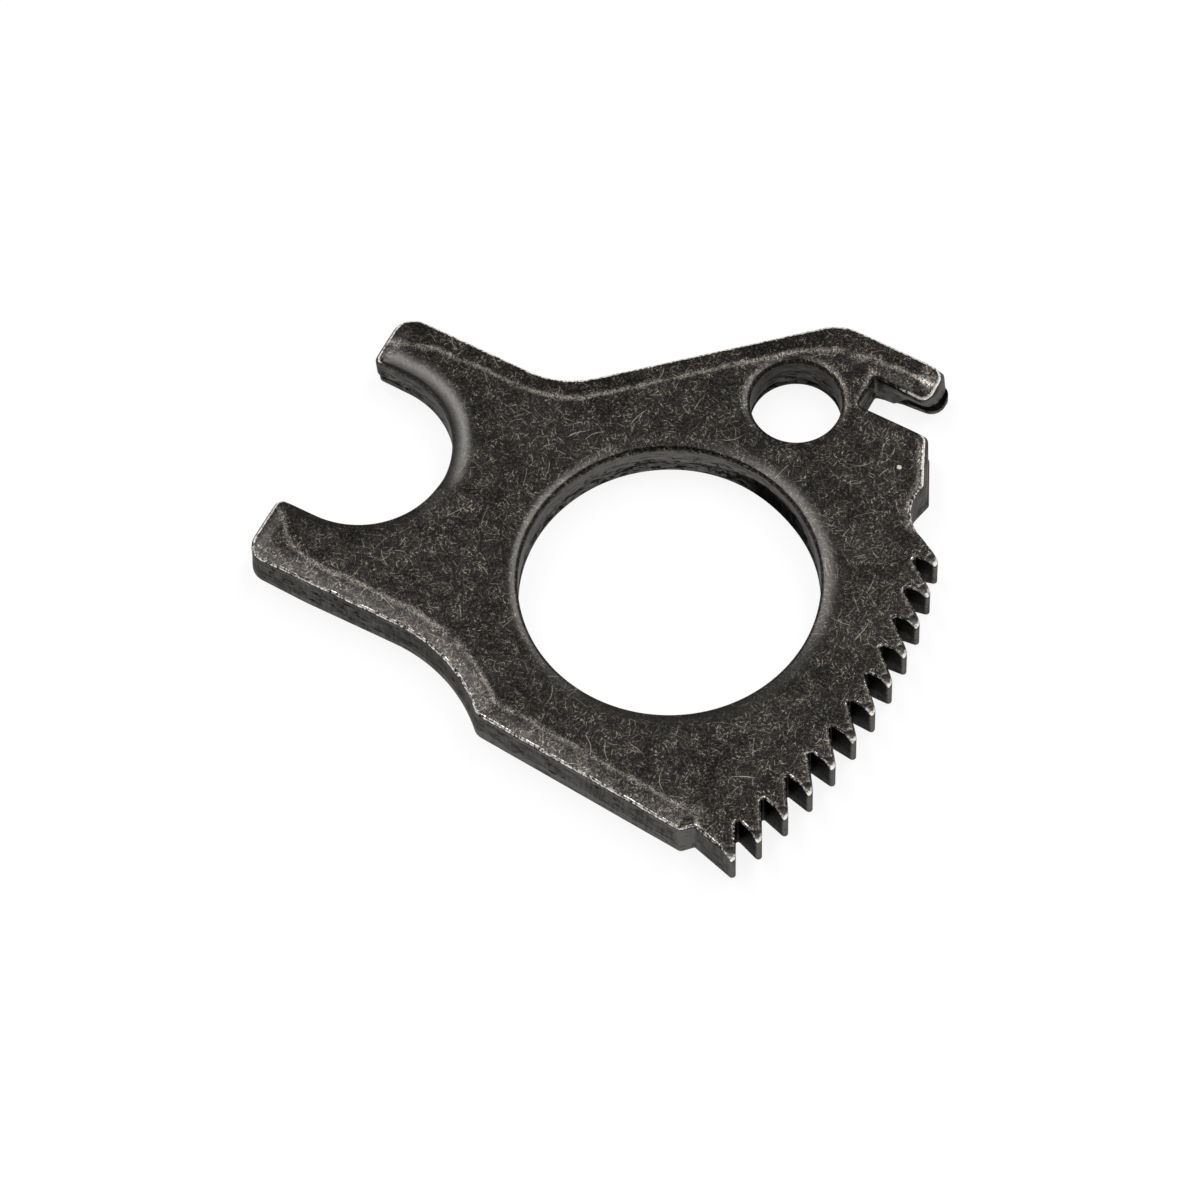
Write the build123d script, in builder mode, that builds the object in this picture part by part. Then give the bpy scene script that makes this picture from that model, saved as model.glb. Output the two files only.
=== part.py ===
from build123d import *
from math import atan2, cos, degrees, radians, sin, sqrt
import os

# Handbrake locking piece
# A ratchet plate punched from one piece of steel sheet. The fork seats on a
# pivot, the round bore passes a shaft, the small hole takes a pin, and a pawl
# drops into the row of teeth on the far side.
# Millimetres. Origin on the underside at the middle of the bore, X from the
# fork to the teeth, Y to the hook, Z up to the rolled face.

# Plate with its bore, and the pin hole above it
plate_thickness = 5.0
bore_diameter = 32.7
pin_hole_diameter = 10.0
pin_hole_web = 4.65
pin_hole_offset = 1.65

# Fork: two prongs with a round-bottomed slot between them
fork_web = 11.35
fork_slot_width = 20.0
fork_drop = 0.9
upper_prong_length = 3.95
lower_prong_length = 4.65
upper_prong_width = 6.65
lower_prong_width = 7.65
upper_prong_radius = 2.2
lower_prong_radius = 2.1
prong_lip_radius = 0.55

# Ratchet: teeth about the fork centre, each a steep flank and a long back
tooth_count = 12
tooth_pitch_angle = 3.5
first_tooth_angle = 14.7
rim_width = 7.4
tooth_height = 3.45
tooth_growth = 0.07
tip_rounding = 0.4
root_rounding = 0.15
last_tip_setback = 0.32
last_tip_shift_angle = 0.45

# Back of the plate: a slope from the upper prong past the pin hole to the hook
slope_angle = 42.4
slope_web = 3.38
slope_blend_radius = 10.0
heel_radius = 6.5

# Slot beside the pin hole and the hook over it
slot_web = 1.15
slot_rise = 2.8
slot_gap = 4.0
slot_depth = 7.05
slot_corner_radius = 0.35
slot_roll_width = 1.9
slot_break_width = 0.15
slot_break_height = 0.4
slot_break_spread_angle = 7.0
hook_thickness = 4.3
hook_nose_radius = 1.9
hook_underside_radius = 1.9

# Nose block between the slot and the first tooth
nose_reach = 8.75
nose_front_reach = 2.7
nose_front_drop = 5.35
neck_setback = 0.7
neck_drop = 4.45
nose_corner_radius = 0.8
neck_radius = 4.6

# Lower side: a round relief that leaves the lower prong in line, a long edge and a step
relief_radius = 18.6
lower_web = 7.75
lower_edge_start = 10.45
step_reach = 5.7
step_rise = 1.7
step_slant = 1.15
step_height = 1.05
lower_corner_radius = 1.8
step_corner_radius = 0.7

# Die roll: the upper face is drawn down towards every punched edge
roll_width = 2.2
roll_depth = 0.4
arris_radius = 0.4
pin_hole_roll_width = 1.1
pin_hole_roll_depth = 0.25


def beyond(point, right, up):
    """Point a distance to the right of another and a distance above it."""
    return (point[0] + right, point[1] + up)


def on_ratchet(radius, angle):
    """Point at a radius and angle in degrees about the fork centre."""
    return beyond(fork_centre, radius * cos(radians(angle)), radius * sin(radians(angle)))


bore_radius = bore_diameter / 2
pin_hole_radius = pin_hole_diameter / 2
pin_hole_centre = (pin_hole_offset, bore_radius + pin_hole_web + pin_hole_radius)

# Fork, walked clockwise from the slot over each prong
half_slot = fork_slot_width / 2
fork_centre = (-(bore_radius + fork_web + half_slot), -fork_drop)
fork_floor = beyond(fork_centre, half_slot, 0)
upper_prong = [
    beyond(fork_centre, 0, half_slot),
    beyond(fork_centre, -upper_prong_length, half_slot),
    beyond(fork_centre, -upper_prong_length, half_slot + upper_prong_width),
]
lower_prong_corner = beyond(fork_centre, -lower_prong_length, -half_slot - lower_prong_width)
lower_edge_left = (-lower_edge_start, -(bore_radius + lower_web))
relief_drop = lower_prong_corner[1] - lower_edge_left[1]
relief_run = sqrt(relief_drop * (2 * relief_radius - relief_drop))
lower_prong = [
    beyond(lower_edge_left, -relief_run, relief_drop),
    lower_prong_corner,
    beyond(fork_centre, -lower_prong_length, -half_slot),
    beyond(fork_centre, 0, -half_slot),
]

# Slot and hook, stacked on the pin hole
slot_lower_corner = beyond(pin_hole_centre, pin_hole_radius + slot_web, slot_rise)
slot_upper_corner = beyond(slot_lower_corner, 0, slot_gap)
slot_mouth = beyond(slot_lower_corner, slot_depth, 0)
hook_underside = beyond(slot_upper_corner, slot_depth, 0)
hook_corner = beyond(hook_underside, 0, hook_thickness)
slot = [hook_underside, slot_upper_corner, slot_lower_corner]

# The slope passes the pin hole with its web between them
slope = radians(slope_angle)
slope_distance = pin_hole_radius + slope_web
shoulder_run = (slope_distance + cos(slope) * (pin_hole_centre[1] - upper_prong[2][1])) / sin(slope)
shoulder = (pin_hole_centre[0] - shoulder_run, upper_prong[2][1])
heel_run = (hook_corner[1] - shoulder[1]) * cos(slope) / sin(slope)
heel = (shoulder[0] + heel_run, hook_corner[1])
back = [*upper_prong, shoulder, heel, hook_corner]

# Nose and neck, from the slot to the ratchet
nose_top = beyond(slot_lower_corner, nose_reach, 0)
nose_front = beyond(nose_top, nose_front_reach, -nose_front_drop)
neck_foot = beyond(nose_front, -neck_setback, -neck_drop)
nose = [nose_top, nose_front, neck_foot]

# Ratchet from the first tip to the last one, its roots a rim's width outside the bore
root_radius = rim_width + bore_radius - fork_centre[0]
tip_radius = root_radius + tooth_height
ratchet = []
for tooth in range(tooth_count - 1):
    flank_angle = first_tooth_angle - tooth * tooth_pitch_angle
    ratchet.append(on_ratchet(tip_radius + tooth * tooth_growth, flank_angle))
    ratchet.append(on_ratchet(root_radius, flank_angle))
last_tip_radius = tip_radius + (tooth_count - 1) * tooth_growth - last_tip_setback
last_tip_angle = flank_angle - tooth_pitch_angle + last_tip_shift_angle
last_tooth_tip = on_ratchet(last_tip_radius, last_tip_angle)
ratchet.append(last_tooth_tip)
middle_tip = ratchet[tooth_count - tooth_count % 2]

# Step below the last tooth
step_root = beyond(last_tooth_tip, -step_reach, step_rise)
lower_edge_right = beyond(step_root, -step_slant, -step_height)

# Long bends are rounded in the blank already, small corners only in the punched profile
long_bends = [(shoulder, slope_blend_radius), (heel, heel_radius), (neck_foot, neck_radius)]
small_corners = [
    (upper_prong[1], prong_lip_radius),
    (upper_prong[2], upper_prong_radius),
    (hook_corner, hook_nose_radius),
    (hook_underside, hook_underside_radius),
    (slot_upper_corner, slot_corner_radius),
    (slot_lower_corner, slot_corner_radius),
    (nose_top, nose_corner_radius),
    (nose_front, nose_corner_radius),
    (lower_edge_right, step_corner_radius),
    (lower_edge_left, lower_corner_radius),
    (lower_prong[1], lower_prong_radius),
    (lower_prong[2], prong_lip_radius),
]
small_corners += [(tip, tip_rounding) for tip in ratchet[0::2]]
small_corners += [(root, root_rounding) for root in ratchet[1::2]]

with BuildPart() as locking_piece:
    # Blank with neither slot nor teeth: its upper face rolls down to a rounded arris
    with BuildSketch(Plane.XY) as blank:
        with BuildLine():
            Polyline(*back, slot_mouth, *nose, ratchet[0])
            ThreePointArc(ratchet[0], middle_tip, last_tooth_tip)
            Line(last_tooth_tip, lower_edge_left)
            RadiusArc(lower_edge_left, lower_prong[0], -relief_radius)
            Polyline(*lower_prong)
            ThreePointArc(lower_prong[-1], fork_floor, upper_prong[0])
        make_face()
        for corner, radius in long_bends:
            fillet(blank.vertices().sort_by_distance(corner)[0], radius)
        Circle(bore_radius, mode=Mode.SUBTRACT)
    extrude(amount=plate_thickness)
    upper_face = locking_piece.faces().sort_by(Axis.Z)[-1]
    chamfer(upper_face.edges(), roll_width, roll_depth, reference=upper_face)
    # By height come the edges of the under face, the upright ones, then the foot of the roll
    roll_foot = locking_piece.edges().group_by(Axis.Z)[2]
    fillet(roll_foot, arris_radius)

    # Punched profile with its teeth, slot and small corners
    with BuildSketch(Plane.XY) as profile:
        with BuildLine():
            Polyline(*back, *slot, *nose, *ratchet, step_root, lower_edge_right, lower_edge_left)
            RadiusArc(lower_edge_left, lower_prong[0], -relief_radius)
            Polyline(*lower_prong)
            ThreePointArc(lower_prong[-1], fork_floor, upper_prong[0])
        make_face()
        for corner, radius in long_bends + small_corners:
            fillet(profile.vertices().sort_by_distance(corner)[0], radius)
    extrude(amount=plate_thickness, mode=Mode.INTERSECT)

    # The slot's upper wall rolls off like the outline
    wall_start = beyond(slot_upper_corner, slot_corner_radius, 0)
    with BuildSketch(Plane((*wall_start, plate_thickness), x_dir=(0, 1, 0), z_dir=(1, 0, 0))):
        with BuildLine():
            Polyline((0, -roll_depth), (0, 0), (slot_roll_width, 0), close=True)
        make_face()
    extrude(amount=slot_depth, mode=Mode.SUBTRACT)

    # At its foot the same wall tore away, wider and higher towards the tip of the hook
    spread = radians(slot_break_spread_angle)
    break_start = Plane(wall_start, x_dir=(-sin(spread), cos(spread), 0), z_dir=(cos(spread), sin(spread), 0))
    break_top = slot_break_height * (1 + slot_gap / slot_break_width)
    with BuildSketch(break_start):
        with BuildLine():
            Polyline((slot_break_width, 0), (-slot_gap, 0), (-slot_gap, break_top), close=True)
        make_face()
    extrude(amount=slot_depth, mode=Mode.SUBTRACT)

    # Pin hole, with a narrower roll than the outline has
    roll_cone_angle = 2 * degrees(atan2(pin_hole_roll_width, pin_hole_roll_depth))
    with Locations((*pin_hole_centre, plate_thickness)):
        CounterSinkHole(pin_hole_radius, pin_hole_radius + pin_hole_roll_width, plate_thickness, roll_cone_angle)

os.makedirs("parts", exist_ok=True)
locking_piece.part.label = "locking_piece"
export_step(locking_piece.part, "parts/locking_piece.step")
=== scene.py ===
from math import ceil, cos, pi, radians, sin, tan
from statistics import NormalDist

import bpy
import numpy as np
from mathutils import Matrix, Vector, noise
from mathutils.geometry import delaunay_2d_cdt
from mathutils.kdtree import KDTree


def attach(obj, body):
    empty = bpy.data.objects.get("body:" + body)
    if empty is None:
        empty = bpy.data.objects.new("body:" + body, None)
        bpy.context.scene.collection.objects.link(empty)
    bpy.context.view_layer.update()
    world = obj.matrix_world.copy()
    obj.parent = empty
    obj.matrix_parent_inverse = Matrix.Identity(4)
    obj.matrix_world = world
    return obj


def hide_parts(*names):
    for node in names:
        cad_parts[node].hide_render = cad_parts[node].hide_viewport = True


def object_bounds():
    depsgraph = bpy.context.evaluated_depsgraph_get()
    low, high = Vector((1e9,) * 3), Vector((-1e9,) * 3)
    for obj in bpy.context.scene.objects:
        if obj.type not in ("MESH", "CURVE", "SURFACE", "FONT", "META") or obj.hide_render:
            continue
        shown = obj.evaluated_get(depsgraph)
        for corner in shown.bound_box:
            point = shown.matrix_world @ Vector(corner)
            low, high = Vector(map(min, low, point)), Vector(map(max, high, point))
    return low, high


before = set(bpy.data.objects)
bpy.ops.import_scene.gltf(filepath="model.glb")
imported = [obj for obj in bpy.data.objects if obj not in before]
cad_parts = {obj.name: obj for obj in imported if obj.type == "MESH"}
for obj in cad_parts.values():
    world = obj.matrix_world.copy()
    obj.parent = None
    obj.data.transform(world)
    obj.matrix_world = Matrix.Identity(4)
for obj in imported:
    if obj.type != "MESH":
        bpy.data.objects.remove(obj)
cad_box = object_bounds()


# Locking piece
# A ratchet plate of 5 mm steel sheet, punched in one stroke, blackened and then
# tumbled, so that its edges are rubbed bright. It lies flat, rolled face up.

# Millimetres. Each kind of edge: width and depth of the die roll, height of the sheared
# band and of the lip at the foot, how bright the arris is rubbed, how smooth the roll is,
# tone of the sheared band, of the torn steel below it and of the lip, each with painted light and
# shade in it (darker in the gullets between teeth and in clefts, lighter on some walls), how pitted it tore,
# and how far the wall stands out past the arris
(ROLL_WIDTH, ROLL_DEPTH, BAND, LIP, RUB, SMOOTHNESS,
 BAND_TONE_AND_LIGHT, TORN_TONE_AND_LIGHT, LIP_TONE_AND_LIGHT, PITTING, OVERHANG) = range(11)
edge_kinds = {
    "fork": (2.5, 0.60, 2.6, 0.9, 0.25, 1.0, 1.2, 0.7, 0.9, 0.7, 0.0),
    "fork_far": (2.2, 0.32, 2.6, 0.9, 0.25, 0.35, 1.0, 0.7, 0.9, 0.7, 0.0),
    "prong": (2.2, 0.40, 2.4, 0.5, 0.90, 0.4, 0.8, 0.5, 0.9, 0.5, 0.22),
    "back": (2.4, 0.20, 3.0, 0.4, 0.85, 0.0, 1.0, 0.7, 1.0, 0.3, 0.0),
    "hook_end": (2.2, 0.45, 2.2, 1.3, 1.00, 0.3, 1.5, 0.1, 1.5, 0.9, 0.35),
    "hook_foot": (2.0, 0.50, 1.4, 0.6, 1.00, 0.2, 1.6, 0.1, 1.2, 1.0, 0.15),
    "slot_roof": (1.9, 0.50, 3.6, 0.2, 0.30, 0.2, 0.9, 0.4, 0.9, 0.4, 0.0),
    "slot": (0.7, 0.12, 0.7, 0.3, 0.25, 0.0, 1.2, 1.1, 1.0, 0.5, 0.0),
    "nose": (0.9, 0.22, 3.2, 0.3, 1.00, 0.0, 1.1, 0.8, 1.1, 0.3, 0.30),
    "neck": (0.9, 0.15, 3.4, 0.3, 0.70, 0.0, 1.5, 1.3, 1.3, 0.0, 0.0),
    "tip": (0.9, 0.10, 3.8, 0.3, 1.00, 0.0, 1.7, 1.5, 1.6, 0.0, 0.0),
    "flank": (0.7, 0.08, 2.6, 0.12, 0.60, 0.0, 0.18, 0.40, 0.60, 0.0, 0.0),
    "tooth_back": (0.7, 0.08, 3.8, 0.3, 0.53, 0.0, 0.5, 0.5, 0.6, 0.0, 0.0),
    "last_tooth": (0.8, 0.09, 3.4, 0.3, 0.66, 0.0, 1.0, 0.85, 1.0, 0.0, 0.0),
    "step": (1.0, 0.10, 4.0, 0.3, 0.72, 0.0, 1.9, 1.6, 1.7, 0.0, 0.0),
    "lower": (2.4, 0.32, 0.3, 1.4, 0.78, 0.1, 1.3, 0.95, 1.6, 0.15, 0.0),
    "relief": (2.4, 0.34, 0.3, 1.0, 0.74, 0.2, 1.0, 0.75, 1.3, 0.25, 0.0),
    "lower_prong": (2.4, 0.34, 0.3, 0.8, 0.76, 0.20, 1.0, 0.85, 1.1, 0.25, 0.0),
}
crested_kinds = ("back", "lower", "relief", "lower_prong")
plate_thickness = 5.0
bore_radius = 16.35
pin_hole = (1.65, 26.0, 5.0)
fork_centre = (-37.7, -0.9)
fork_radius = 10.0

# Ratchet: teeth on a circle about the middle of the fork
tooth_count = 12
first_tooth_angle = 14.7
tooth_pitch_angle = 3.49
tip_radius = 64.9
tip_growth = 0.078
root_radius = 61.45
last_tip_setback = 0.32
last_tip_shift_angle = 0.45
worn_point_inset = 0.8

# Corners of the arris, clockwise seen from above: x, y and radius of the bend, the kind of the
# bend and of the edge after it, and x, y and radius of its foot where that stands elsewhere
corners = [
    (-27.7, 9.1, fork_radius, "fork", "fork"),
    (-41.45, 9.1, 0.7, "prong", "prong", (-41.45, 9.4, 0.7)),
    (-41.45, 15.75, 2.2, "prong", "back"),
    (-22.0, 15.75, 10.0, "back", "back"),
    (1.38, 37.1, 5.5, "back", "back"),
    (14.15, 37.1, 1.3, "hook_end", "hook_end", (15.15, 37.1, 1.2)),
    (14.3, 32.75, 1.3, "hook_foot", "hook_foot", (14.95, 33.9, 1.7)),
    (10.8, 32.78, 0.0, "slot_roof", "slot_roof", (10.8, 33.6, 0.0)),
    (7.8, 32.8, 0.35, "slot_roof", "slot", (7.8, 32.95, 0.35)),
    (7.8, 28.8, 0.35, "slot", "slot"),
    (16.1, 28.8, 0.8, "nose", "nose", (16.65, 28.8, 0.8)),
    (18.72, 23.35, 0.7, "nose", "neck", (19.3, 23.6, 0.5)),
    (18.4, 19.0, 4.6, "neck", "tooth_back", (18.65, 20.6, 1.5)),
    (21.9, 17.28, 5.0, "tooth_back", "tooth_back"),
]
worn_points = []
for tooth in range(tooth_count):
    last = tooth == tooth_count - 1
    angle = radians(first_tooth_angle - tooth_pitch_angle * tooth + (last_tip_shift_angle if last else 0.0))
    ray = np.array([cos(angle), sin(angle)])
    tip = tip_radius + tip_growth * tooth - (last_tip_setback if last else 0.0)
    worn_points.append(fork_centre + ray * (tip - worn_point_inset))
    corners.append((*(fork_centre + ray * tip), 0.4, "tip", "last_tooth" if last else "flank"))
    if not last:
        corners.append((*(fork_centre + ray * root_radius), 0.25, "flank", "tooth_back"))
worn_points = np.array(worn_points)
corners += [
    (16.6, -25.1, 0.15, "step", "step"),
    (15.45, -26.15, 0.7, "step", "lower", (15.45, -26.3, 0.7)),
    (-10.45, -24.1, 1.8, "lower", "relief", (-10.5, -24.25, 1.8)),
    (-16.3, -18.55, 18.6, "relief", "lower_prong", (-16.3, -18.55, 17.9)),
    (-35.0, -18.55, 0.0, "lower_prong", "lower_prong", (-35.0, -18.72, 20.0)),
    (-42.15, -18.55, 2.1, "lower_prong", "prong", (-42.35, -18.45, 2.2)),
    (-42.15, -10.9, 0.7, "prong", "fork_far"),
    (-27.7, -10.9, fork_radius, "fork_far", "fork"),
]
point_spacing = 0.25
tooth_point_spacing = 0.15
tiny = 1e-9
spacing_tolerance = 1e-6


def walk(corners, steps=None):
    """Points along a closed outline with rounded corners, and the steps in each bend and run."""
    count = len(corners)
    places = [np.array(corner[:2]) for corner in corners]
    ways = [places[(i + 1) % count] - places[i] for i in range(count)]
    lengths = [np.hypot(*way) for way in ways]
    ways = [way / length for way, length in zip(ways, lengths)]
    turns = [np.arctan2(ways[i - 1][0] * ways[i][1] - ways[i - 1][1] * ways[i][0],
                        ways[i - 1] @ ways[i]) for i in range(count)]
    trims = [corners[i][2] * tan(abs(turns[i]) / 2) for i in range(count)]
    points, made_steps = [], []
    for i in range(count):
        after = (i + 1) % count
        # Where two bends don't fit on the edge between them, they are made tighter
        room = min(1.0, lengths[i - 1] / (trims[i - 1] + trims[i] + tiny),
                   lengths[i] / (trims[i] + trims[after] + tiny))
        trim, radius = trims[i] * room, corners[i][2] * room
        arm = np.sign(turns[i]) * radius * np.array([ways[i - 1][1], -ways[i - 1][0]])
        centre = places[i] - ways[i - 1] * trim - arm
        straight = max(lengths[i] - trim - trims[after], 0.0)
        toothed = "flank" in corners[i] or "tooth_back" in corners[i]
        bend_spacing = 0.08 + min(radius, 2.0) * 0.08
        bends = ceil(radius * abs(turns[i]) / bend_spacing)
        runs = ceil(straight / (tooth_point_spacing if toothed else point_spacing) - spacing_tolerance)
        if steps:
            bends, runs = steps[i]
        made_steps.append((bends, runs))
        for step in range(bends):
            swing = turns[i] * step / bends
            points.append(centre + np.array([arm[0] * cos(swing) - arm[1] * sin(swing),
                                             arm[0] * sin(swing) + arm[1] * cos(swing)]))
        for step in range(runs):
            points.append(places[i] + ways[i] * (trim + straight * step / runs))
    return np.array(points), made_steps


def ring(x, y, radius):
    """A hole's rim, anticlockwise, so that the steel is on its right as it is on the outline's."""
    count = ceil(2 * pi * radius / point_spacing)
    turn = np.arange(count) * 2 * pi / count
    return np.stack([x + radius * np.cos(turn), y + radius * np.sin(turn)], 1), turn


arris, steps = walk(corners)
foot, _ = walk([corner[5] if len(corner) > 5 else corner[:3] for corner in corners], steps)
kinds, has_crest = [], []
for corner, (bends, runs) in zip(corners, steps):
    kinds += [edge_kinds[corner[3]]] * bends + [edge_kinds[corner[4]]] * runs
    has_crest += [corner[3] in crested_kinds] * bends + [corner[4] in crested_kinds] * runs
crest_rim = arris[has_crest]
edge = np.array(kinds)
# One kind of edge passes into the next over about a millimetre, sooner between teeth
ratchet_inner_radius = 60.5
ratchet_top = 18.0
smooth = sum(np.roll(edge, shift, 0) for shift in range(-3, 4)) / 7
short = sum(np.roll(edge, shift, 0) for shift in range(-1, 2)) / 3
from_fork = np.hypot(*(arris - fork_centre).T)[:, None]
in_ratchet = (from_fork > ratchet_inner_radius) & (arris[:, 1:] < ratchet_top)
edge = np.where(in_ratchet, short, smooth)
bore_rim, bore_turn = ring(0.0, 0.0, bore_radius)
pin_rim, _ = ring(*pin_hole)


def towards(angle, spread):
    """1 on the side of the bore at an angle in degrees, 0 away from it."""
    apart = np.angle(np.exp(1j * (bore_turn - radians(angle))), deg=True)
    return np.exp(-(apart / spread) ** 2)


# The bore rolled and tore unevenly, with a deep cleft on one side and a rough rim at the back
cleft = np.clip(1.3 * towards(72, 20), 0, 1)
bore_roll_side = np.cos(bore_turn - radians(20))
bore_edge = np.zeros((len(bore_turn), len(edge[0])))
bore_edge[:, ROLL_WIDTH] = 1.75 + 0.45 * bore_roll_side
bore_edge[:, ROLL_DEPTH] = 0.31 + 0.05 * bore_roll_side
bore_edge[:, BAND] = 2.6 - 1.2 * cleft
bore_edge[:, LIP] = 0.4 - 0.3 * cleft
bore_edge[:, SMOOTHNESS] = 0.65 - 0.6 * towards(120, 32)
# The sheared band is painted lighter towards the left side of the bore, and the torn steel and lip are
# painted dark in the cleft: painted light and painted shade
bore_edge[:, BAND_TONE_AND_LIGHT] = 1.35 + 0.3 * np.cos(bore_turn - radians(180))
bore_edge[:, TORN_TONE_AND_LIGHT] = 1.2 - 1.17 * cleft
bore_edge[:, LIP_TONE_AND_LIGHT] = 1.0 - 0.9 * cleft
bore_edge[:, PITTING] = 0.55 + 0.45 * cleft
bore_foot = bore_rim * (1 - 0.2 / bore_radius * towards(68, 20))[:, None]
pin_edge = np.tile((1.1, 0.25, 3.5, 0.25, 0.3, 0.2, 0.62, 0.4, 0.6, 0.6, 0.0), (len(pin_rim), 1))
loops = [(arris, foot, edge), (bore_rim, bore_foot, bore_edge), (pin_rim, pin_rim, pin_edge)]
rim_points = np.concatenate([line for line, _, _ in loops])
rim_edge = np.concatenate([edge for _, _, edge in loops])
starts = np.cumsum([0] + [len(line) for line, _, _ in loops])
rim_edges = [(start + i, start + (i + 1) % (stop - start))
             for start, stop in zip(starts, starts[1:]) for i in range(stop - start)]

# A picture of the profile, 1 in the steel, filled between the rims along two lines in each row
cell = 0.1
origin = np.array([-48.0, -32.0])
columns, rows = 820, 740
profile = np.zeros((rows, columns))
left_edges = origin[0] + cell * np.arange(columns)
for half_row in range(rows * 2):
    y = origin[1] + cell * (half_row + 0.5) / 2
    crossings = []
    for line, _, _ in loops:
        after = np.roll(line, -1, 0)
        cut = (line[:, 1] > y) != (after[:, 1] > y)
        slant = (after[cut, 0] - line[cut, 0]) / (after[cut, 1] - line[cut, 1])
        crossings += list(line[cut, 0] + (y - line[cut, 1]) * slant)
    crossings.sort()
    for start, stop in zip(crossings[0::2], crossings[1::2]):
        filled = np.clip((stop - left_edges) / cell, 0, 1) - np.clip((start - left_edges) / cell, 0, 1)
        profile[half_row // 2] += filled / 2


def depth_in_steel(blur):
    """Distance inside the profile, softened over a blur in millimetres."""
    fx, fy = np.fft.rfftfreq(columns, cell), np.fft.fftfreq(rows, cell)
    soften = np.exp(-2 * (pi * blur) ** 2 * (fx[None, :] ** 2 + fy[:, None] ** 2))
    blurred = np.fft.irfft2(np.fft.rfft2(profile) * soften, s=profile.shape)
    reach = np.linspace(-3.2, 3.2, 129)
    return blur * np.interp(blurred, [NormalDist().cdf(t) for t in reach], reach)


def sample(field, points):
    """A field's value at points in the plane."""
    at = (points - origin) / cell - 0.5
    square = np.clip(np.floor(at).astype(int), 0, [columns - 2, rows - 2])
    fx, fy = (at - square).T
    ix, iy = square.T
    return ((field[iy, ix] * (1 - fx) + field[iy, ix + 1] * fx) * (1 - fy)
            + (field[iy + 1, ix] * (1 - fx) + field[iy + 1, ix + 1] * fx) * fy)


def tree_of(points):
    """A search tree over points of the plane."""
    tree = KDTree(len(points))
    for index, point in enumerate(points):
        tree.insert((*point, 0.0), index)
    tree.balance()
    return tree


def nearest(points, tree):
    """For each point, the nearest one in the tree and how far off that is."""
    found = [tree.find((x, y, 0.0)) for x, y in points]
    return np.array([f[1] for f in found]), np.array([f[2] for f in found])


def wander(points, per_mm, layer):
    """Slow swings of noise over points of the plane, with so many bumps per millimetre."""
    return np.array([noise.fractal(Vector((x * per_mm, y * per_mm, layer)), 0.7, 2.1, 4) for x, y in points])


def wear_at(points):
    """Distance to the nearest worn tooth point."""
    return np.hypot(*(points[:, None, :] - worn_points[None, :, :]).T).min(0)


# The blurred picture makes the roll deeper at outer corners and shallower at inner ones
wide_depth = depth_in_steel(0.95)
narrow_depth = depth_in_steel(0.4)
rims, crest_rims = tree_of(rim_points), tree_of(crest_rim)


def roll(points, rim):
    """How far the upper face is drawn down, and where it is between the arris (0) and the crest (1)."""
    width, depth = rim_edge[rim, ROLL_WIDTH], rim_edge[rim, ROLL_DEPTH]
    wide = np.clip((width - 0.9) / 0.6, 0, 1)
    inside = sample(narrow_depth, points) * (1 - wide) + sample(wide_depth, points) * wide
    share = inside / width
    slope = 0.5 * ((1 - share) + np.sqrt((1 - share) ** 2 + 0.02))
    # A smooth roll is the rounder one, and each tooth is worn down at its point
    drawn = depth * np.minimum(slope, 1.35) ** (1.4 + 0.6 * rim_edge[rim, SMOOTHNESS])
    worn = 1.1 * np.clip(1 - wear_at(points) / 1.25, 0, 1) ** 1.7
    return drawn + worn, share


# Upper face: rows of points that follow the rims, then an even net over the middle
row_offsets = (0.04, 0.1, 0.18, 0.28, 0.42, 0.6, 0.8, 1.0, 1.25, 1.5, 1.75, 2.0, 2.2, 2.4, 2.65, 2.95, 3.4)
net_start = 3.6
net_pitch = 0.75
net_columns, net_rows = 110, 115
under_margin = 1.2
arris_radius = 0.3
cloud = []
for offset in row_offsets:
    for line, _, _ in loops:
        tangent = np.roll(line, -1, 0) - np.roll(line, 1, 0)
        tangent /= np.hypot(*tangent.T)[:, None]
        inward = line + offset * np.stack([tangent[:, 1], -tangent[:, 0]], 1)
        inward = inward[:: (1 if offset < 0.9 else 2)]
        rim, gap = nearest(inward, rims)
        # Points that another stretch of rim comes nearer to are left to that stretch
        good = (gap > offset * 0.97 - 0.004) & (sample(profile, inward) > (0.2 if offset < 0.2 else 0.9))
        cloud.append((inward[good], rim[good], gap[good]))
net = np.array([(origin[0] + net_pitch * (i + 0.5 * (j % 2)), origin[1] + net_pitch * 0.866 * j)
                for j in range(net_rows) for i in range(net_columns)])
net = net[sample(profile, net) > 0.99]
rim, gap = nearest(net, rims)
cloud.append((net[gap > net_start], rim[gap > net_start], gap[gap > net_start]))
under_net = net[::3][gap[::3] > under_margin]
face_points, face_rim, face_gap = (np.concatenate(part) for part in zip(*cloud))
face_drop, face_share = roll(face_points, face_rim)
rounding = np.clip(arris_radius - face_gap, 0, None)
face_z = plate_thickness - face_drop - (arris_radius - np.sqrt(arris_radius ** 2 - rounding ** 2))
rim_drop, _ = roll(rim_points, np.arange(len(rim_points)))
rim_z = plate_thickness - rim_drop - arris_radius

# The crest of the roll is a ragged line, rubbed paler than the steel on either side. It stands
# further in at the heel and towards the ends of the prongs, and is fainter on the lower side
heel_middle = (3.0, 34.0)
crest_inset = 2.3
lower_side_crest = 0.66
_, crest_gap = nearest(face_points, crest_rims)
waver = wander(face_points, 0.5, 8.0)
to_heel = np.hypot(*(face_points - heel_middle).T)
along_prong = np.clip((-35 - face_points[:, 0]) / 6.5, 0, 1)
inset = crest_inset + 0.9 * np.exp(-(to_heel / 3.0) ** 2) + 2.2 * along_prong ** 1.5
face_crest = np.clip(1.15 - abs(crest_gap - inset + 0.22 * waver) / 0.34, 0, 1)
face_crest *= np.where(face_points[:, 1] < 0, lower_side_crest, 1.0)
near_arris = np.clip(1.6 - abs(face_gap - 0.15 - 0.07 * waver) / 0.17, 0, 1)
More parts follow.
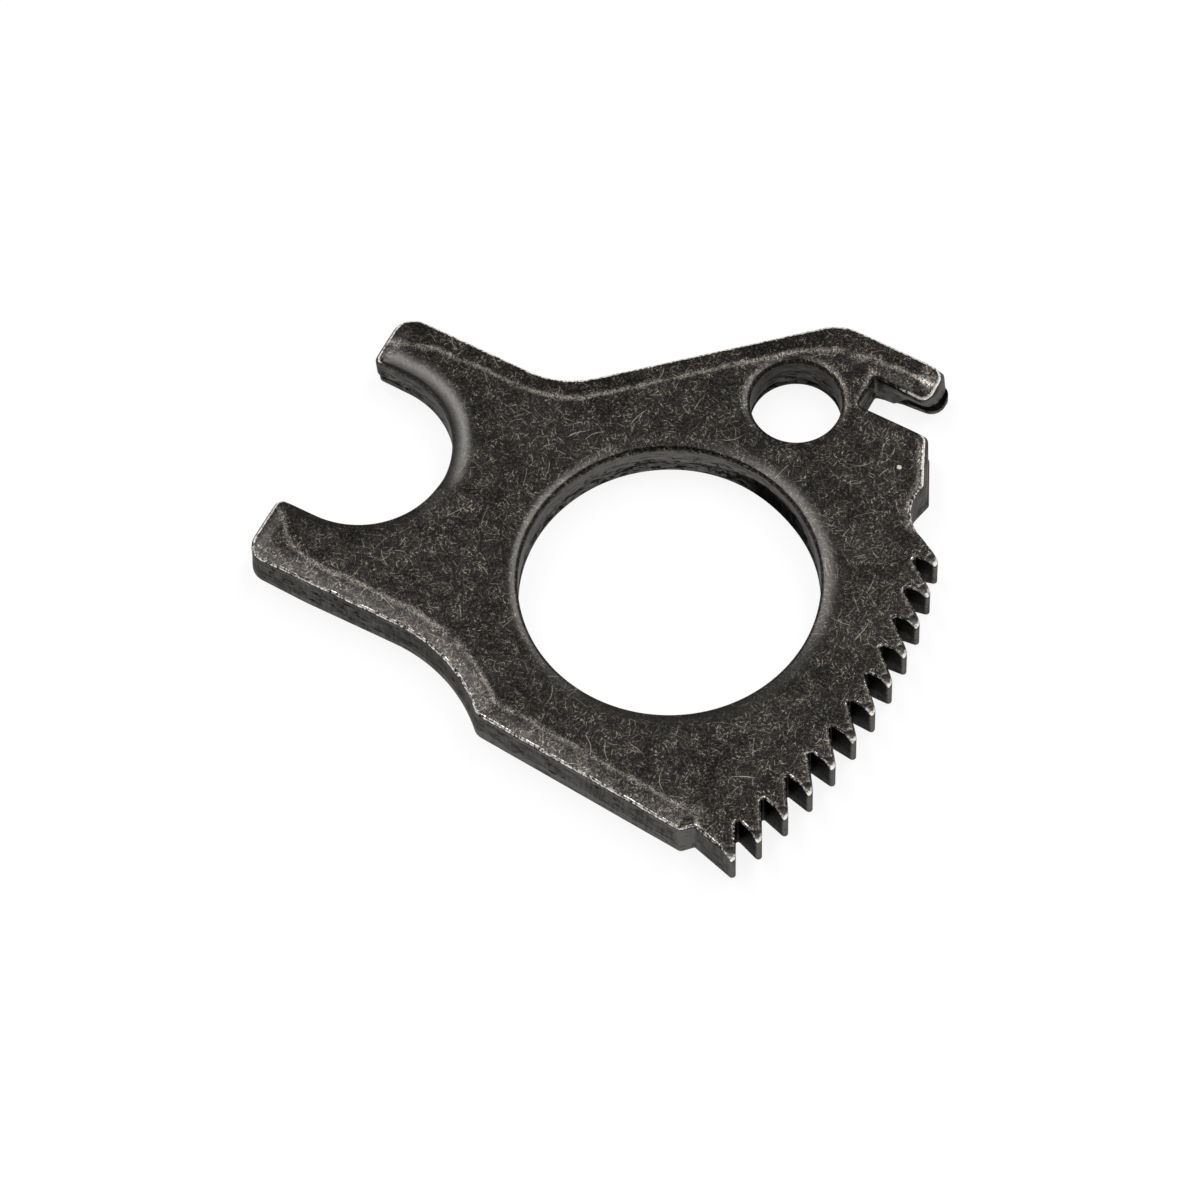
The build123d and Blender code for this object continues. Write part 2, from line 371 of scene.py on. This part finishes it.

# Marks that the finish reads at each point, with what a plain point has: share of the way from
# the arris to the crest, nearness to the arris, rub, smoothness, crest, wear with a painted highlight at the
# tooth points, wall or not, just under the arris or not, torn or not, tone of a wall with its painted light
# and shade, and how pitted it is
plain_marks = {"share": 0, "near_arris": 0, "rub": 0, "smoothness": 0, "crest": 0, "wear": 0,
               "wall": 0, "under_arris": 0, "torn": 0, "tone": 1, "pitting": 0}
parts = []


def add(x_y, z, **marks):
    """Takes one batch of points with their marks, and gives the number of the first of them."""
    values = [z, *(plain_marks | marks).values()]
    parts.append(np.column_stack([x_y] + [np.broadcast_to(value, len(x_y)) for value in values]))
    return sum(len(part) for part in parts) - len(x_y)


def triangulate(points):
    """Triangles over points of the plane, inside the outline and outside the holes.

    The first of the points are those of the rims, and no triangle of the steel has all three on one hole.
    """
    inside_outline, same_place = 2, 1e-5
    _, _, triangles, sources, _, _ = delaunay_2d_cdt(
        [Vector(point) for point in points], rim_edges, [], inside_outline, same_place)
    first = [source[0] if source else -1 for source in sources]
    triangles = [[first[v] for v in triangle] for triangle in triangles]
    holes = list(zip(starts[1:], starts[2:]))
    return [ids for ids in triangles if min(ids) >= 0
            and not any(start <= min(ids) and max(ids) < stop for start, stop in holes)]


add(rim_points, rim_z, near_arris=0.2, rub=rim_edge[:, RUB], smoothness=rim_edge[:, SMOOTHNESS],
    under_arris=0.5)
add(face_points, face_z, share=face_share, near_arris=near_arris, rub=rim_edge[face_rim, RUB],
    smoothness=rim_edge[face_rim, SMOOTHNESS], crest=face_crest,
    wear=np.clip(1.3 - wear_at(face_points) / 1.3, 0, 1), under_arris=np.clip(1 - face_gap / 0.35, 0, 1))
faces = [tuple(ids) for ids in triangulate(np.concatenate([rim_points, face_points]))]

# Walls: a smooth sheared band under the arris, then torn steel, then a lip at the foot. Each
# zone has rows of points at these shares of its height
wall_rows = {"band": (0.02, 0.07, 0.12, 0.2, 0.45, 0.7, 0.92, 1.0),
             "torn": (0.05, 0.2, 0.4, 0.6, 0.8, 0.95),
             "lip": (0.08, 0.3, 0.7, 0.95, 1.0)}
zone_tones = {"band": BAND_TONE_AND_LIGHT, "torn": TORN_TONE_AND_LIGHT, "lip": LIP_TONE_AND_LIGHT}
least_above_lip = 0.6
least_torn_height = 0.15
deepest_dent = 0.3
foot_bevel = 0.06
soles = []
for (line, sole, edge), start in zip(loops, starts):
    count = len(line)
    tangent = np.roll(line, -1, 0) - np.roll(line, 1, 0)
    tangent /= np.hypot(*tangent.T)[:, None]
    outward = np.stack([-tangent[:, 1], tangent[:, 0]], 1)
    upper = rim_z[start:start + count]
    pitting = edge[:, PITTING]
    swing = wander(line, 0.45, 3.0)
    lip = np.minimum(edge[:, LIP] * (1 + 0.35 * swing), upper - least_above_lip)
    band_end = np.maximum(upper - edge[:, BAND] * (1 + 0.22 * swing[::-1] * pitting), lip + least_torn_height)
    previous = list(range(start, start + count))
    for zone, share in [(zone, share) for zone, shares in wall_rows.items() for share in shares]:
        past, under_arris = edge[:, OVERHANG], 0
        if zone == "band":
            z, to_foot = upper + (band_end - upper) * share, 0.3 * share
            past = past * min(1.0, share / 0.12)
            under_arris = np.clip(1.2 - share * 5, 0, 1)
        elif zone == "torn":
            z, to_foot = band_end + (lip - band_end) * share, 0.3 + 0.7 * min(1.0, share * 1.3)
        else:
            z, to_foot = lip * (1 - share), 1.0
        place = line + (sole - line) * to_foot + outward * (past * (1 - to_foot))[:, None]
        if zone == "torn":
            rough = np.array([noise.fractal(Vector((x * 1.3, y * 1.3, height * 2.2)), 0.8, 2.0, 3)
                              for (x, y), height in zip(line, z)])
            hollow = (0.02 + 0.18 * pitting ** 2) * sin(pi * min(share * 1.1, 1.0))
            dent = np.minimum(8 * pitting, 1) * (0.03 + hollow * (1 + 1.3 * rough))
            place = place - outward * np.clip(dent, 0, deepest_dent)[:, None]
        elif zone == "lip" and share == 1.0:
            place = place - outward * foot_bevel
        first = add(place, z, rub=edge[:, RUB], wall=1, under_arris=under_arris, torn=float(zone == "torn"),
                    tone=edge[:, zone_tones[zone]], pitting=pitting)
        faces += [(previous[i], previous[(i + 1) % count], first + (i + 1) % count, first + i)
                  for i in range(count)]
        previous = list(range(first, first + count))
    soles += previous

# Under face: flat, out to the lip
first = add(under_net, 0, share=2)
low_points = np.concatenate([np.concatenate(parts)[soles, :2], under_net])
low_ids = soles + list(range(first, first + len(under_net)))
faces += [tuple(low_ids[v] for v in reversed(ids)) for ids in triangulate(low_points)]

# The mesh is in metres, and no point of it lies past the box of the solid
sharp_angle = radians(50)
table = np.concatenate(parts)
low, high = (np.array(corner) for corner in cad_box)
places = np.clip(table[:, :3] / 1000, low, high)
mesh = bpy.data.meshes.new("locking_plate")
mesh.from_pydata([tuple(place) for place in places], [], faces)
for column, name in enumerate(plain_marks):
    values = table[:, 3 + column].astype(np.float32)
    mesh.attributes.new(name, "FLOAT", "POINT").data.foreach_set("value", values)
mesh.shade_smooth()
mesh.set_sharp_from_angle(angle=sharp_angle)
plate = bpy.data.objects.new("locking_plate", mesh)
bpy.context.scene.collection.objects.link(plate)


class Tone:
    """A value of the finish. An expression on it adds its Math nodes."""

    def __init__(self, tree, socket=None):
        self.tree, self.socket = tree, socket

    def node(self, kind, inputs={}, output=0, **settings):
        """A node of a kind, its settings made first, then the values or links of its sockets."""
        made = self.tree.nodes.new(kind)
        for name, value in settings.items():
            setattr(made, name, value)
        for name, value in inputs.items():
            if isinstance(value, Tone):
                self.tree.links.new(value.socket, made.inputs[name])
            else:
                made.inputs[name].default_value = value
        return Tone(self.tree, made.outputs[output] if made.outputs else None)

    def beside(self, output):
        """Another output of the node that this value comes from."""
        return Tone(self.tree, self.socket.node.outputs[output])

    def maths(self, operation, *values):
        return self.node("ShaderNodeMath", dict(enumerate(values)), operation=operation)

    def __add__(self, other):
        return self.maths("ADD", self, other)

    def __radd__(self, other):
        return self.maths("ADD", other, self)

    def __sub__(self, other):
        return self.maths("SUBTRACT", self, other)

    def __rsub__(self, other):
        return self.maths("SUBTRACT", other, self)

    def __mul__(self, other):
        return self.maths("MULTIPLY", self, other)

    def __rmul__(self, other):
        return self.maths("MULTIPLY", other, self)

    def __abs__(self):
        return self.maths("ABSOLUTE", self)

    def between(self, low, high):
        """0 below low, 1 above high, smooth between them."""
        return self.node("ShaderNodeMapRange", {"Value": self, "From Min": low, "From Max": high},
                         interpolation_type="SMOOTHSTEP")

    def tint(self, ground, colour):
        """The ground's colour where this is 0 and the other colour where it is 1."""
        return self.node("ShaderNodeMix", {0: self, 6: ground, 7: colour}, 2, data_type="RGBA")


material = bpy.data.materials.new("blackened_steel")
material.use_nodes = True
material.node_tree.nodes.clear()
steel = Tone(material.node_tree)
surface = steel.node("ShaderNodeTexCoord", output="Object")
share, near_arris, rub, smoothness, crest, wear, wall, under_arris, torn, tone, pitting = (
    steel.node("ShaderNodeAttribute", output="Fac", attribute_name=name) for name in plain_marks)


def net_over_plate(scales, shift, rise):
    """The surface laid out in cells, moved along so that no two patterns fall together."""
    return steel.node("ShaderNodeMapping",
                      {"Vector": surface, "Scale": scales, "Location": (shift, shift * 0.7, rise)})


def grain(size, detail, warp, shift=0.0, stretch=(1, 1, 1)):
    """Noise whose patches are about a size in millimetres."""
    place = net_over_plate([1000.0 / size * s for s in stretch], shift, shift * 0.3)
    return steel.node("ShaderNodeTexNoise",
                      {"Vector": place, "Scale": 1.0, "Detail": detail, "Distortion": warp})


def hairs(cell, length, width, shift):
    """One fine scratch in every cell of a net, each at its own angle. Millimetres."""
    place = net_over_plate((1000.0 / cell,) * 3, shift, 0)
    middle = steel.node("ShaderNodeTexVoronoi", {"Vector": place, "Scale": 1.0}, "Position",
                        voronoi_dimensions="2D")
    angle = steel.node("ShaderNodeSeparateColor", {"Color": middle.beside("Color")}, "Red")
    curve, strength = angle.beside("Green"), angle.beside("Blue")
    offset = steel.node("ShaderNodeVectorMath", {0: place, 1: middle}, operation="SUBTRACT")
    turned = steel.node("ShaderNodeVectorRotate", {"Vector": offset, "Angle": angle * 2 * pi},
                        rotation_type="Z_AXIS")
    along = steel.node("ShaderNodeSeparateXYZ", {"Vector": turned}, "X")
    aside = along.beside("Y") + (curve - 0.5) * 1.6 * along * along
    line = 1 - abs(aside).between(width * 0.25 / cell, width * 0.75 / cell)
    ends = 1 - abs(along).between(length * 0.3 / cell, length * 0.5 / cell)
    return line * ends * (0.25 + 0.75 * strength)


# Faces: mottled black oxide, worn thin in small patches, smoother where the steel is drawn down
deep_oxide = (0.0090, 0.0088, 0.0088, 1)
oxide = (0.0225, 0.0214, 0.0208, 1)
warm_oxide = (0.086, 0.070, 0.060, 1)
cool_oxide = (0.064, 0.066, 0.064, 1)
smooth_oxide = (0.052, 0.050, 0.048, 1)
pale_steel_and_highlight = (0.32, 0.30, 0.27, 1)
face = 1 - wall
mottle = grain(1.6, 4.0, 0.3)
patches = grain(6.0, 3.0, 0.4, 4.0)
fine = grain(0.17, 2.0, 0.2, 2.0)
speckle = grain(0.32, 3.0, 0.3, 6.0)
rolled = (1 - share.between(0.45, 1.35)) * smoothness * face
crest = crest * face * grain(2.2, 3.0, 0.5, 61.0).between(0.24, 0.52)
worn_oxide = grain(0.7, 2.0, 0.3, 27.0).between(0.42, 0.58).tint(warm_oxide, cool_oxide)
ground = (0.4 * mottle + 0.6 * patches).between(0.32, 0.68).tint(deep_oxide, oxide)
ground = ((0.55 * fine + 0.45 * speckle).between(0.48, 0.68) * 0.72).tint(ground, worn_oxide)
ground = (rolled * (0.35 + 0.75 * speckle)).between(0.0, 1.0).tint(ground, smooth_oxide)
ground = (crest * (fine + 0.3 * speckle).between(0.50, 0.78) * 0.75).tint(ground, pale_steel_and_highlight)

# Short fibres of dust and longer scratches from the tumbling, fewer on the roll
scratch_colour = (0.36, 0.315, 0.25, 1)
fibres = hairs(0.42, 0.38, 0.085, 3.0) + hairs(0.50, 0.45, 0.085, 9.0) + hairs(0.62, 0.55, 0.09, 15.0)
fibres = fibres * face * (1 - 0.75 * rolled) * (0.36 + 0.5 * mottle.between(0.42, 0.62) + crest)
scratches = (hairs(1.1, 0.9, 0.08, 21.0) * 0.8 + hairs(1.7, 1.5, 0.08, 33.0) * 0.8
             + hairs(3.4, 3.0, 0.075, 45.0))
scratches = scratches * (1 - 0.9 * wall) * (1 - 0.6 * rolled) * patches.between(0.35, 0.60)
ground = (fibres * 0.50).between(0.0, 1.0).tint(ground, scratch_colour)
ground = (scratches * 0.64).between(0.0, 1.0).tint(ground, scratch_colour)
# Tooth points worn pale, and painted lighter where their drooped tops would reflect the dark room: part wear,
# part painted highlight
ground = (0.55 * wear * (0.3 + 1.1 * speckle)).between(0.0, 1.0).tint(ground, pale_steel_and_highlight)

# Two chips in the oxide: x, y and radius in millimetres
chips = ((15.4, 23.9, 0.24), (-40.5, 12.2, 0.09))
chip_steel = (0.55, 0.50, 0.42, 1)
for x, y, radius in chips:
    gap = steel.node("ShaderNodeVectorMath", {0: surface, 1: (x / 1000, y / 1000, plate_thickness / 1000)}, 1,
                     operation="DISTANCE")
    chip = 1 - (gap * 1000 - radius * (0.3 + 1.4 * fine)).between(-0.04, 0.06)
    ground = chip.tint(ground, chip_steel)

# Walls: streaks run up the wall where it sheared clean, and along it where it is pitted
wall_shade = (0.002, 0.002, 0.002, 1)
wall_steel = (0.138, 0.132, 0.125, 1)
up_streaks = grain(0.30, 2.0, 0.2, 41.0, (1, 1, 0.12)).between(0.30, 0.70)
side_streaks = grain(0.35, 3.0, 0.4, 42.0, (0.14, 0.14, 1.0)).between(0.30, 0.70)
streaks = up_streaks + (side_streaks - up_streaks) * pitting.between(0.3, 0.55)
blotch = grain(0.8, 3.0, 0.4, 43.0, (0.5, 0.5, 1.4)).between(0.30, 0.70)
# A wall's tone and light takes it from the shade colour towards the steel: painted light and painted shade,
# darker in the gullets and clefts, lighter on some walls
wall_ground = (tone * (0.27 + 0.28 * streaks + 0.45 * blotch)).tint(wall_shade, wall_steel)
ground = wall.tint(ground, wall_ground)

# Pits, cracks and gouges in the torn steel, and a ragged arris with flecks where it isn't rubbed
pit_black = (0.003, 0.003, 0.003, 1)
fleck_colour = (0.20, 0.165, 0.12, 1)
low_down = 1 - steel.node("ShaderNodeSeparateXYZ", {"Vector": surface}, "Z").between(0.0018, 0.0040)
gouges = (wall * pitting.between(0.3, 0.7) * low_down * 1.5
          * grain(0.5, 3.0, 0.8, 67.0, (0.5, 0.5, 1.5)).between(0.55, 0.57))
pits = torn * (grain(0.9, 3.0, 0.4, 31.0, (0.8, 0.8, 1.8)) + 0.24 * pitting).between(0.64, 0.72) + gouges
cracks = torn * pitting * grain(0.55, 2.0, 0.6, 51.0, (1, 1, 0.15)).between(0.58, 0.66)
rough_rim = under_arris * (1 - rub.between(0.1, 0.5))
arris_pits = rough_rim * grain(0.30, 3.0, 0.5, 47.0).between(0.46, 0.54)
flecks = rough_rim * grain(0.25, 2.0, 0.3, 57.0).between(0.58, 0.64) * 0.7
# Pits, cracks, gouges and the arris pits are painted near-black: painted shade in their hollows
ground = ((pits + arris_pits + cracks).between(0.0, 1.0) * 0.9).tint(ground, pit_black)
ground = flecks.tint(ground, fleck_colour)

# Arrises rubbed to bare steel, in dashes
bare_steel = (0.92, 0.89, 0.84, 1)
rubbed = (near_arris * rub * (1.4 * grain(0.30, 3.0, 0.4, 17.0))).between(0.36, 0.68)
colour = rubbed.tint(ground, bare_steel)
roughness = 0.27 + 0.08 * fine + 0.18 * torn + 0.10 * (wall - torn)
metal = 1 - 0.7 * (scratches + 0.4 * fibres).between(0.0, 1.0)
relief_depth = 0.000008
height = ((0.6 * fine + 0.5 * speckle + 0.4 * fibres) * (1 - 0.6 * rolled) + 0.3 * mottle + 0.5 * scratches
          - 2.0 * pits + wall * (0.6 * streaks + 0.5 * blotch))
bump = steel.node("ShaderNodeBump", {"Height": height, "Strength": 1.0, "Distance": relief_depth})
shader = steel.node("ShaderNodeBsdfPrincipled",
                    {"Base Color": colour, "Roughness": roughness, "Metallic": metal, "Normal": bump,
                     "Specular Tint": (0.5, 0.5, 0.5, 1)})
steel.node("ShaderNodeOutputMaterial", {"Surface": shader})
mesh.materials.append(material)
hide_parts("locking_piece")
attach(plate, "root")


# Floor
# A white sheet of matt card under the plate. It isn't part of the object.
# It shows white to the camera and to gloss, and keeps a soft shadow.
floor_half_width = 3.0
floor_gap = 0.00002
own_white = 0.88
card_grey = (0.9, 0.9, 0.9, 1)
floor_mesh = bpy.data.meshes.new("floor")
floor_mesh.from_pydata([(x * floor_half_width, y * floor_half_width, 0)
                        for x, y in ((-1, -1), (1, -1), (1, 1), (-1, 1))], [], [(0, 1, 2, 3)])
floor = bpy.data.objects.new("floor", floor_mesh)
floor.location.z = -floor_gap
bpy.context.scene.collection.objects.link(floor)
card = bpy.data.materials.new("white_card")
card.use_nodes = True
card.node_tree.nodes.clear()
paper = Tone(card.node_tree)
camera_ray, gloss_ray, through_ray = (paper.node("ShaderNodeLightPath", output=name)
                                      for name in ("Is Camera Ray", "Is Glossy Ray", "Is Transmission Ray"))
seen = paper.maths("MAXIMUM", paper.maths("MAXIMUM", camera_ray, gloss_ray), through_ray)
lit = paper.node("ShaderNodeBsdfDiffuse", {"Color": card_grey})
glow = paper.node("ShaderNodeEmission", {"Color": (1, 1, 1, 1), "Strength": 1.0})
shown = paper.node("ShaderNodeMixShader", {0: seen * own_white, 1: lit, 2: glow})
paper.node("ShaderNodeOutputMaterial", {"Surface": shown})
floor_mesh.materials.append(card)


# Light and camera
# Two long soft boxes overhead, left and right, and a room that is pale at the horizon.
# The camera looks down at the plate from its lower side. Metres.
view_aim = (-0.006670, -0.003501, 0.000175)
view_turn = radians(30.1106)
view_lean = radians(28.8107)
view_roll = radians(-1.74986)
view_distance = 1.002789
camera_data = bpy.data.cameras.new("camera")
camera_data.lens = 278.08
camera_data.sensor_width = 36.0
camera_data.clip_start = 0.01
camera = bpy.data.objects.new("camera", camera_data)
camera.matrix_world = (Matrix.Translation(view_aim) @ Matrix.Rotation(view_turn, 4, "Z")
                       @ Matrix.Rotation(view_lean, 4, "X") @ Matrix.Rotation(view_roll, 4, "Z")
                       @ Matrix.Translation((0, 0, view_distance)))
bpy.context.scene.collection.objects.link(camera)
bpy.context.scene.camera = camera

strip_width, strip_length = 0.30, 0.90
strip_power = 8.0
strip_distance = 1.2
strip_aside, strip_behind, strip_above = 0.34, 0.33, 0.88
strip_splay = 0.3
across = Vector((cos(view_turn), sin(view_turn), 0.0))
nearer = Vector((sin(view_turn), -cos(view_turn), 0.0))
for side, name in ((-1, "left_strip"), (1, "right_strip")):
    strip = bpy.data.lights.new(name, "AREA")
    strip.shape = "RECTANGLE"
    strip.size, strip.size_y = strip_width, strip_length
    strip.energy = strip_power
    lamp = bpy.data.objects.new(name, strip)
    aim = (across * strip_aside * side - nearer * strip_behind + Vector((0, 0, strip_above))).normalized()
    run = nearer - across * strip_splay * side
    length = (run - aim * run.dot(aim)).normalized()
    turned = Matrix((length.cross(aim), length, aim)).transposed().to_4x4()
    lamp.matrix_world = Matrix.Translation(aim * strip_distance) @ turned
    bpy.context.scene.collection.objects.link(lamp)
horizon_grey = (0.95, 0.95, 0.95, 1)
overhead_grey = (0.2, 0.2, 0.2, 1)
room = bpy.data.worlds.new("room")
room.use_nodes = True
room.node_tree.nodes.clear()
air = Tone(room.node_tree)
direction = air.node("ShaderNodeTexCoord", output="Generated")
up = air.node("ShaderNodeSeparateXYZ", {"Vector": direction}, "Z")
sky = up.between(0.05, 0.8).tint(horizon_grey, overhead_grey)
back = air.node("ShaderNodeBackground", {"Color": sky, "Strength": 1.0})
air.node("ShaderNodeOutputWorld", {"Surface": back})
bpy.context.scene.world = room
bpy.context.scene.view_settings.view_transform = "Standard"
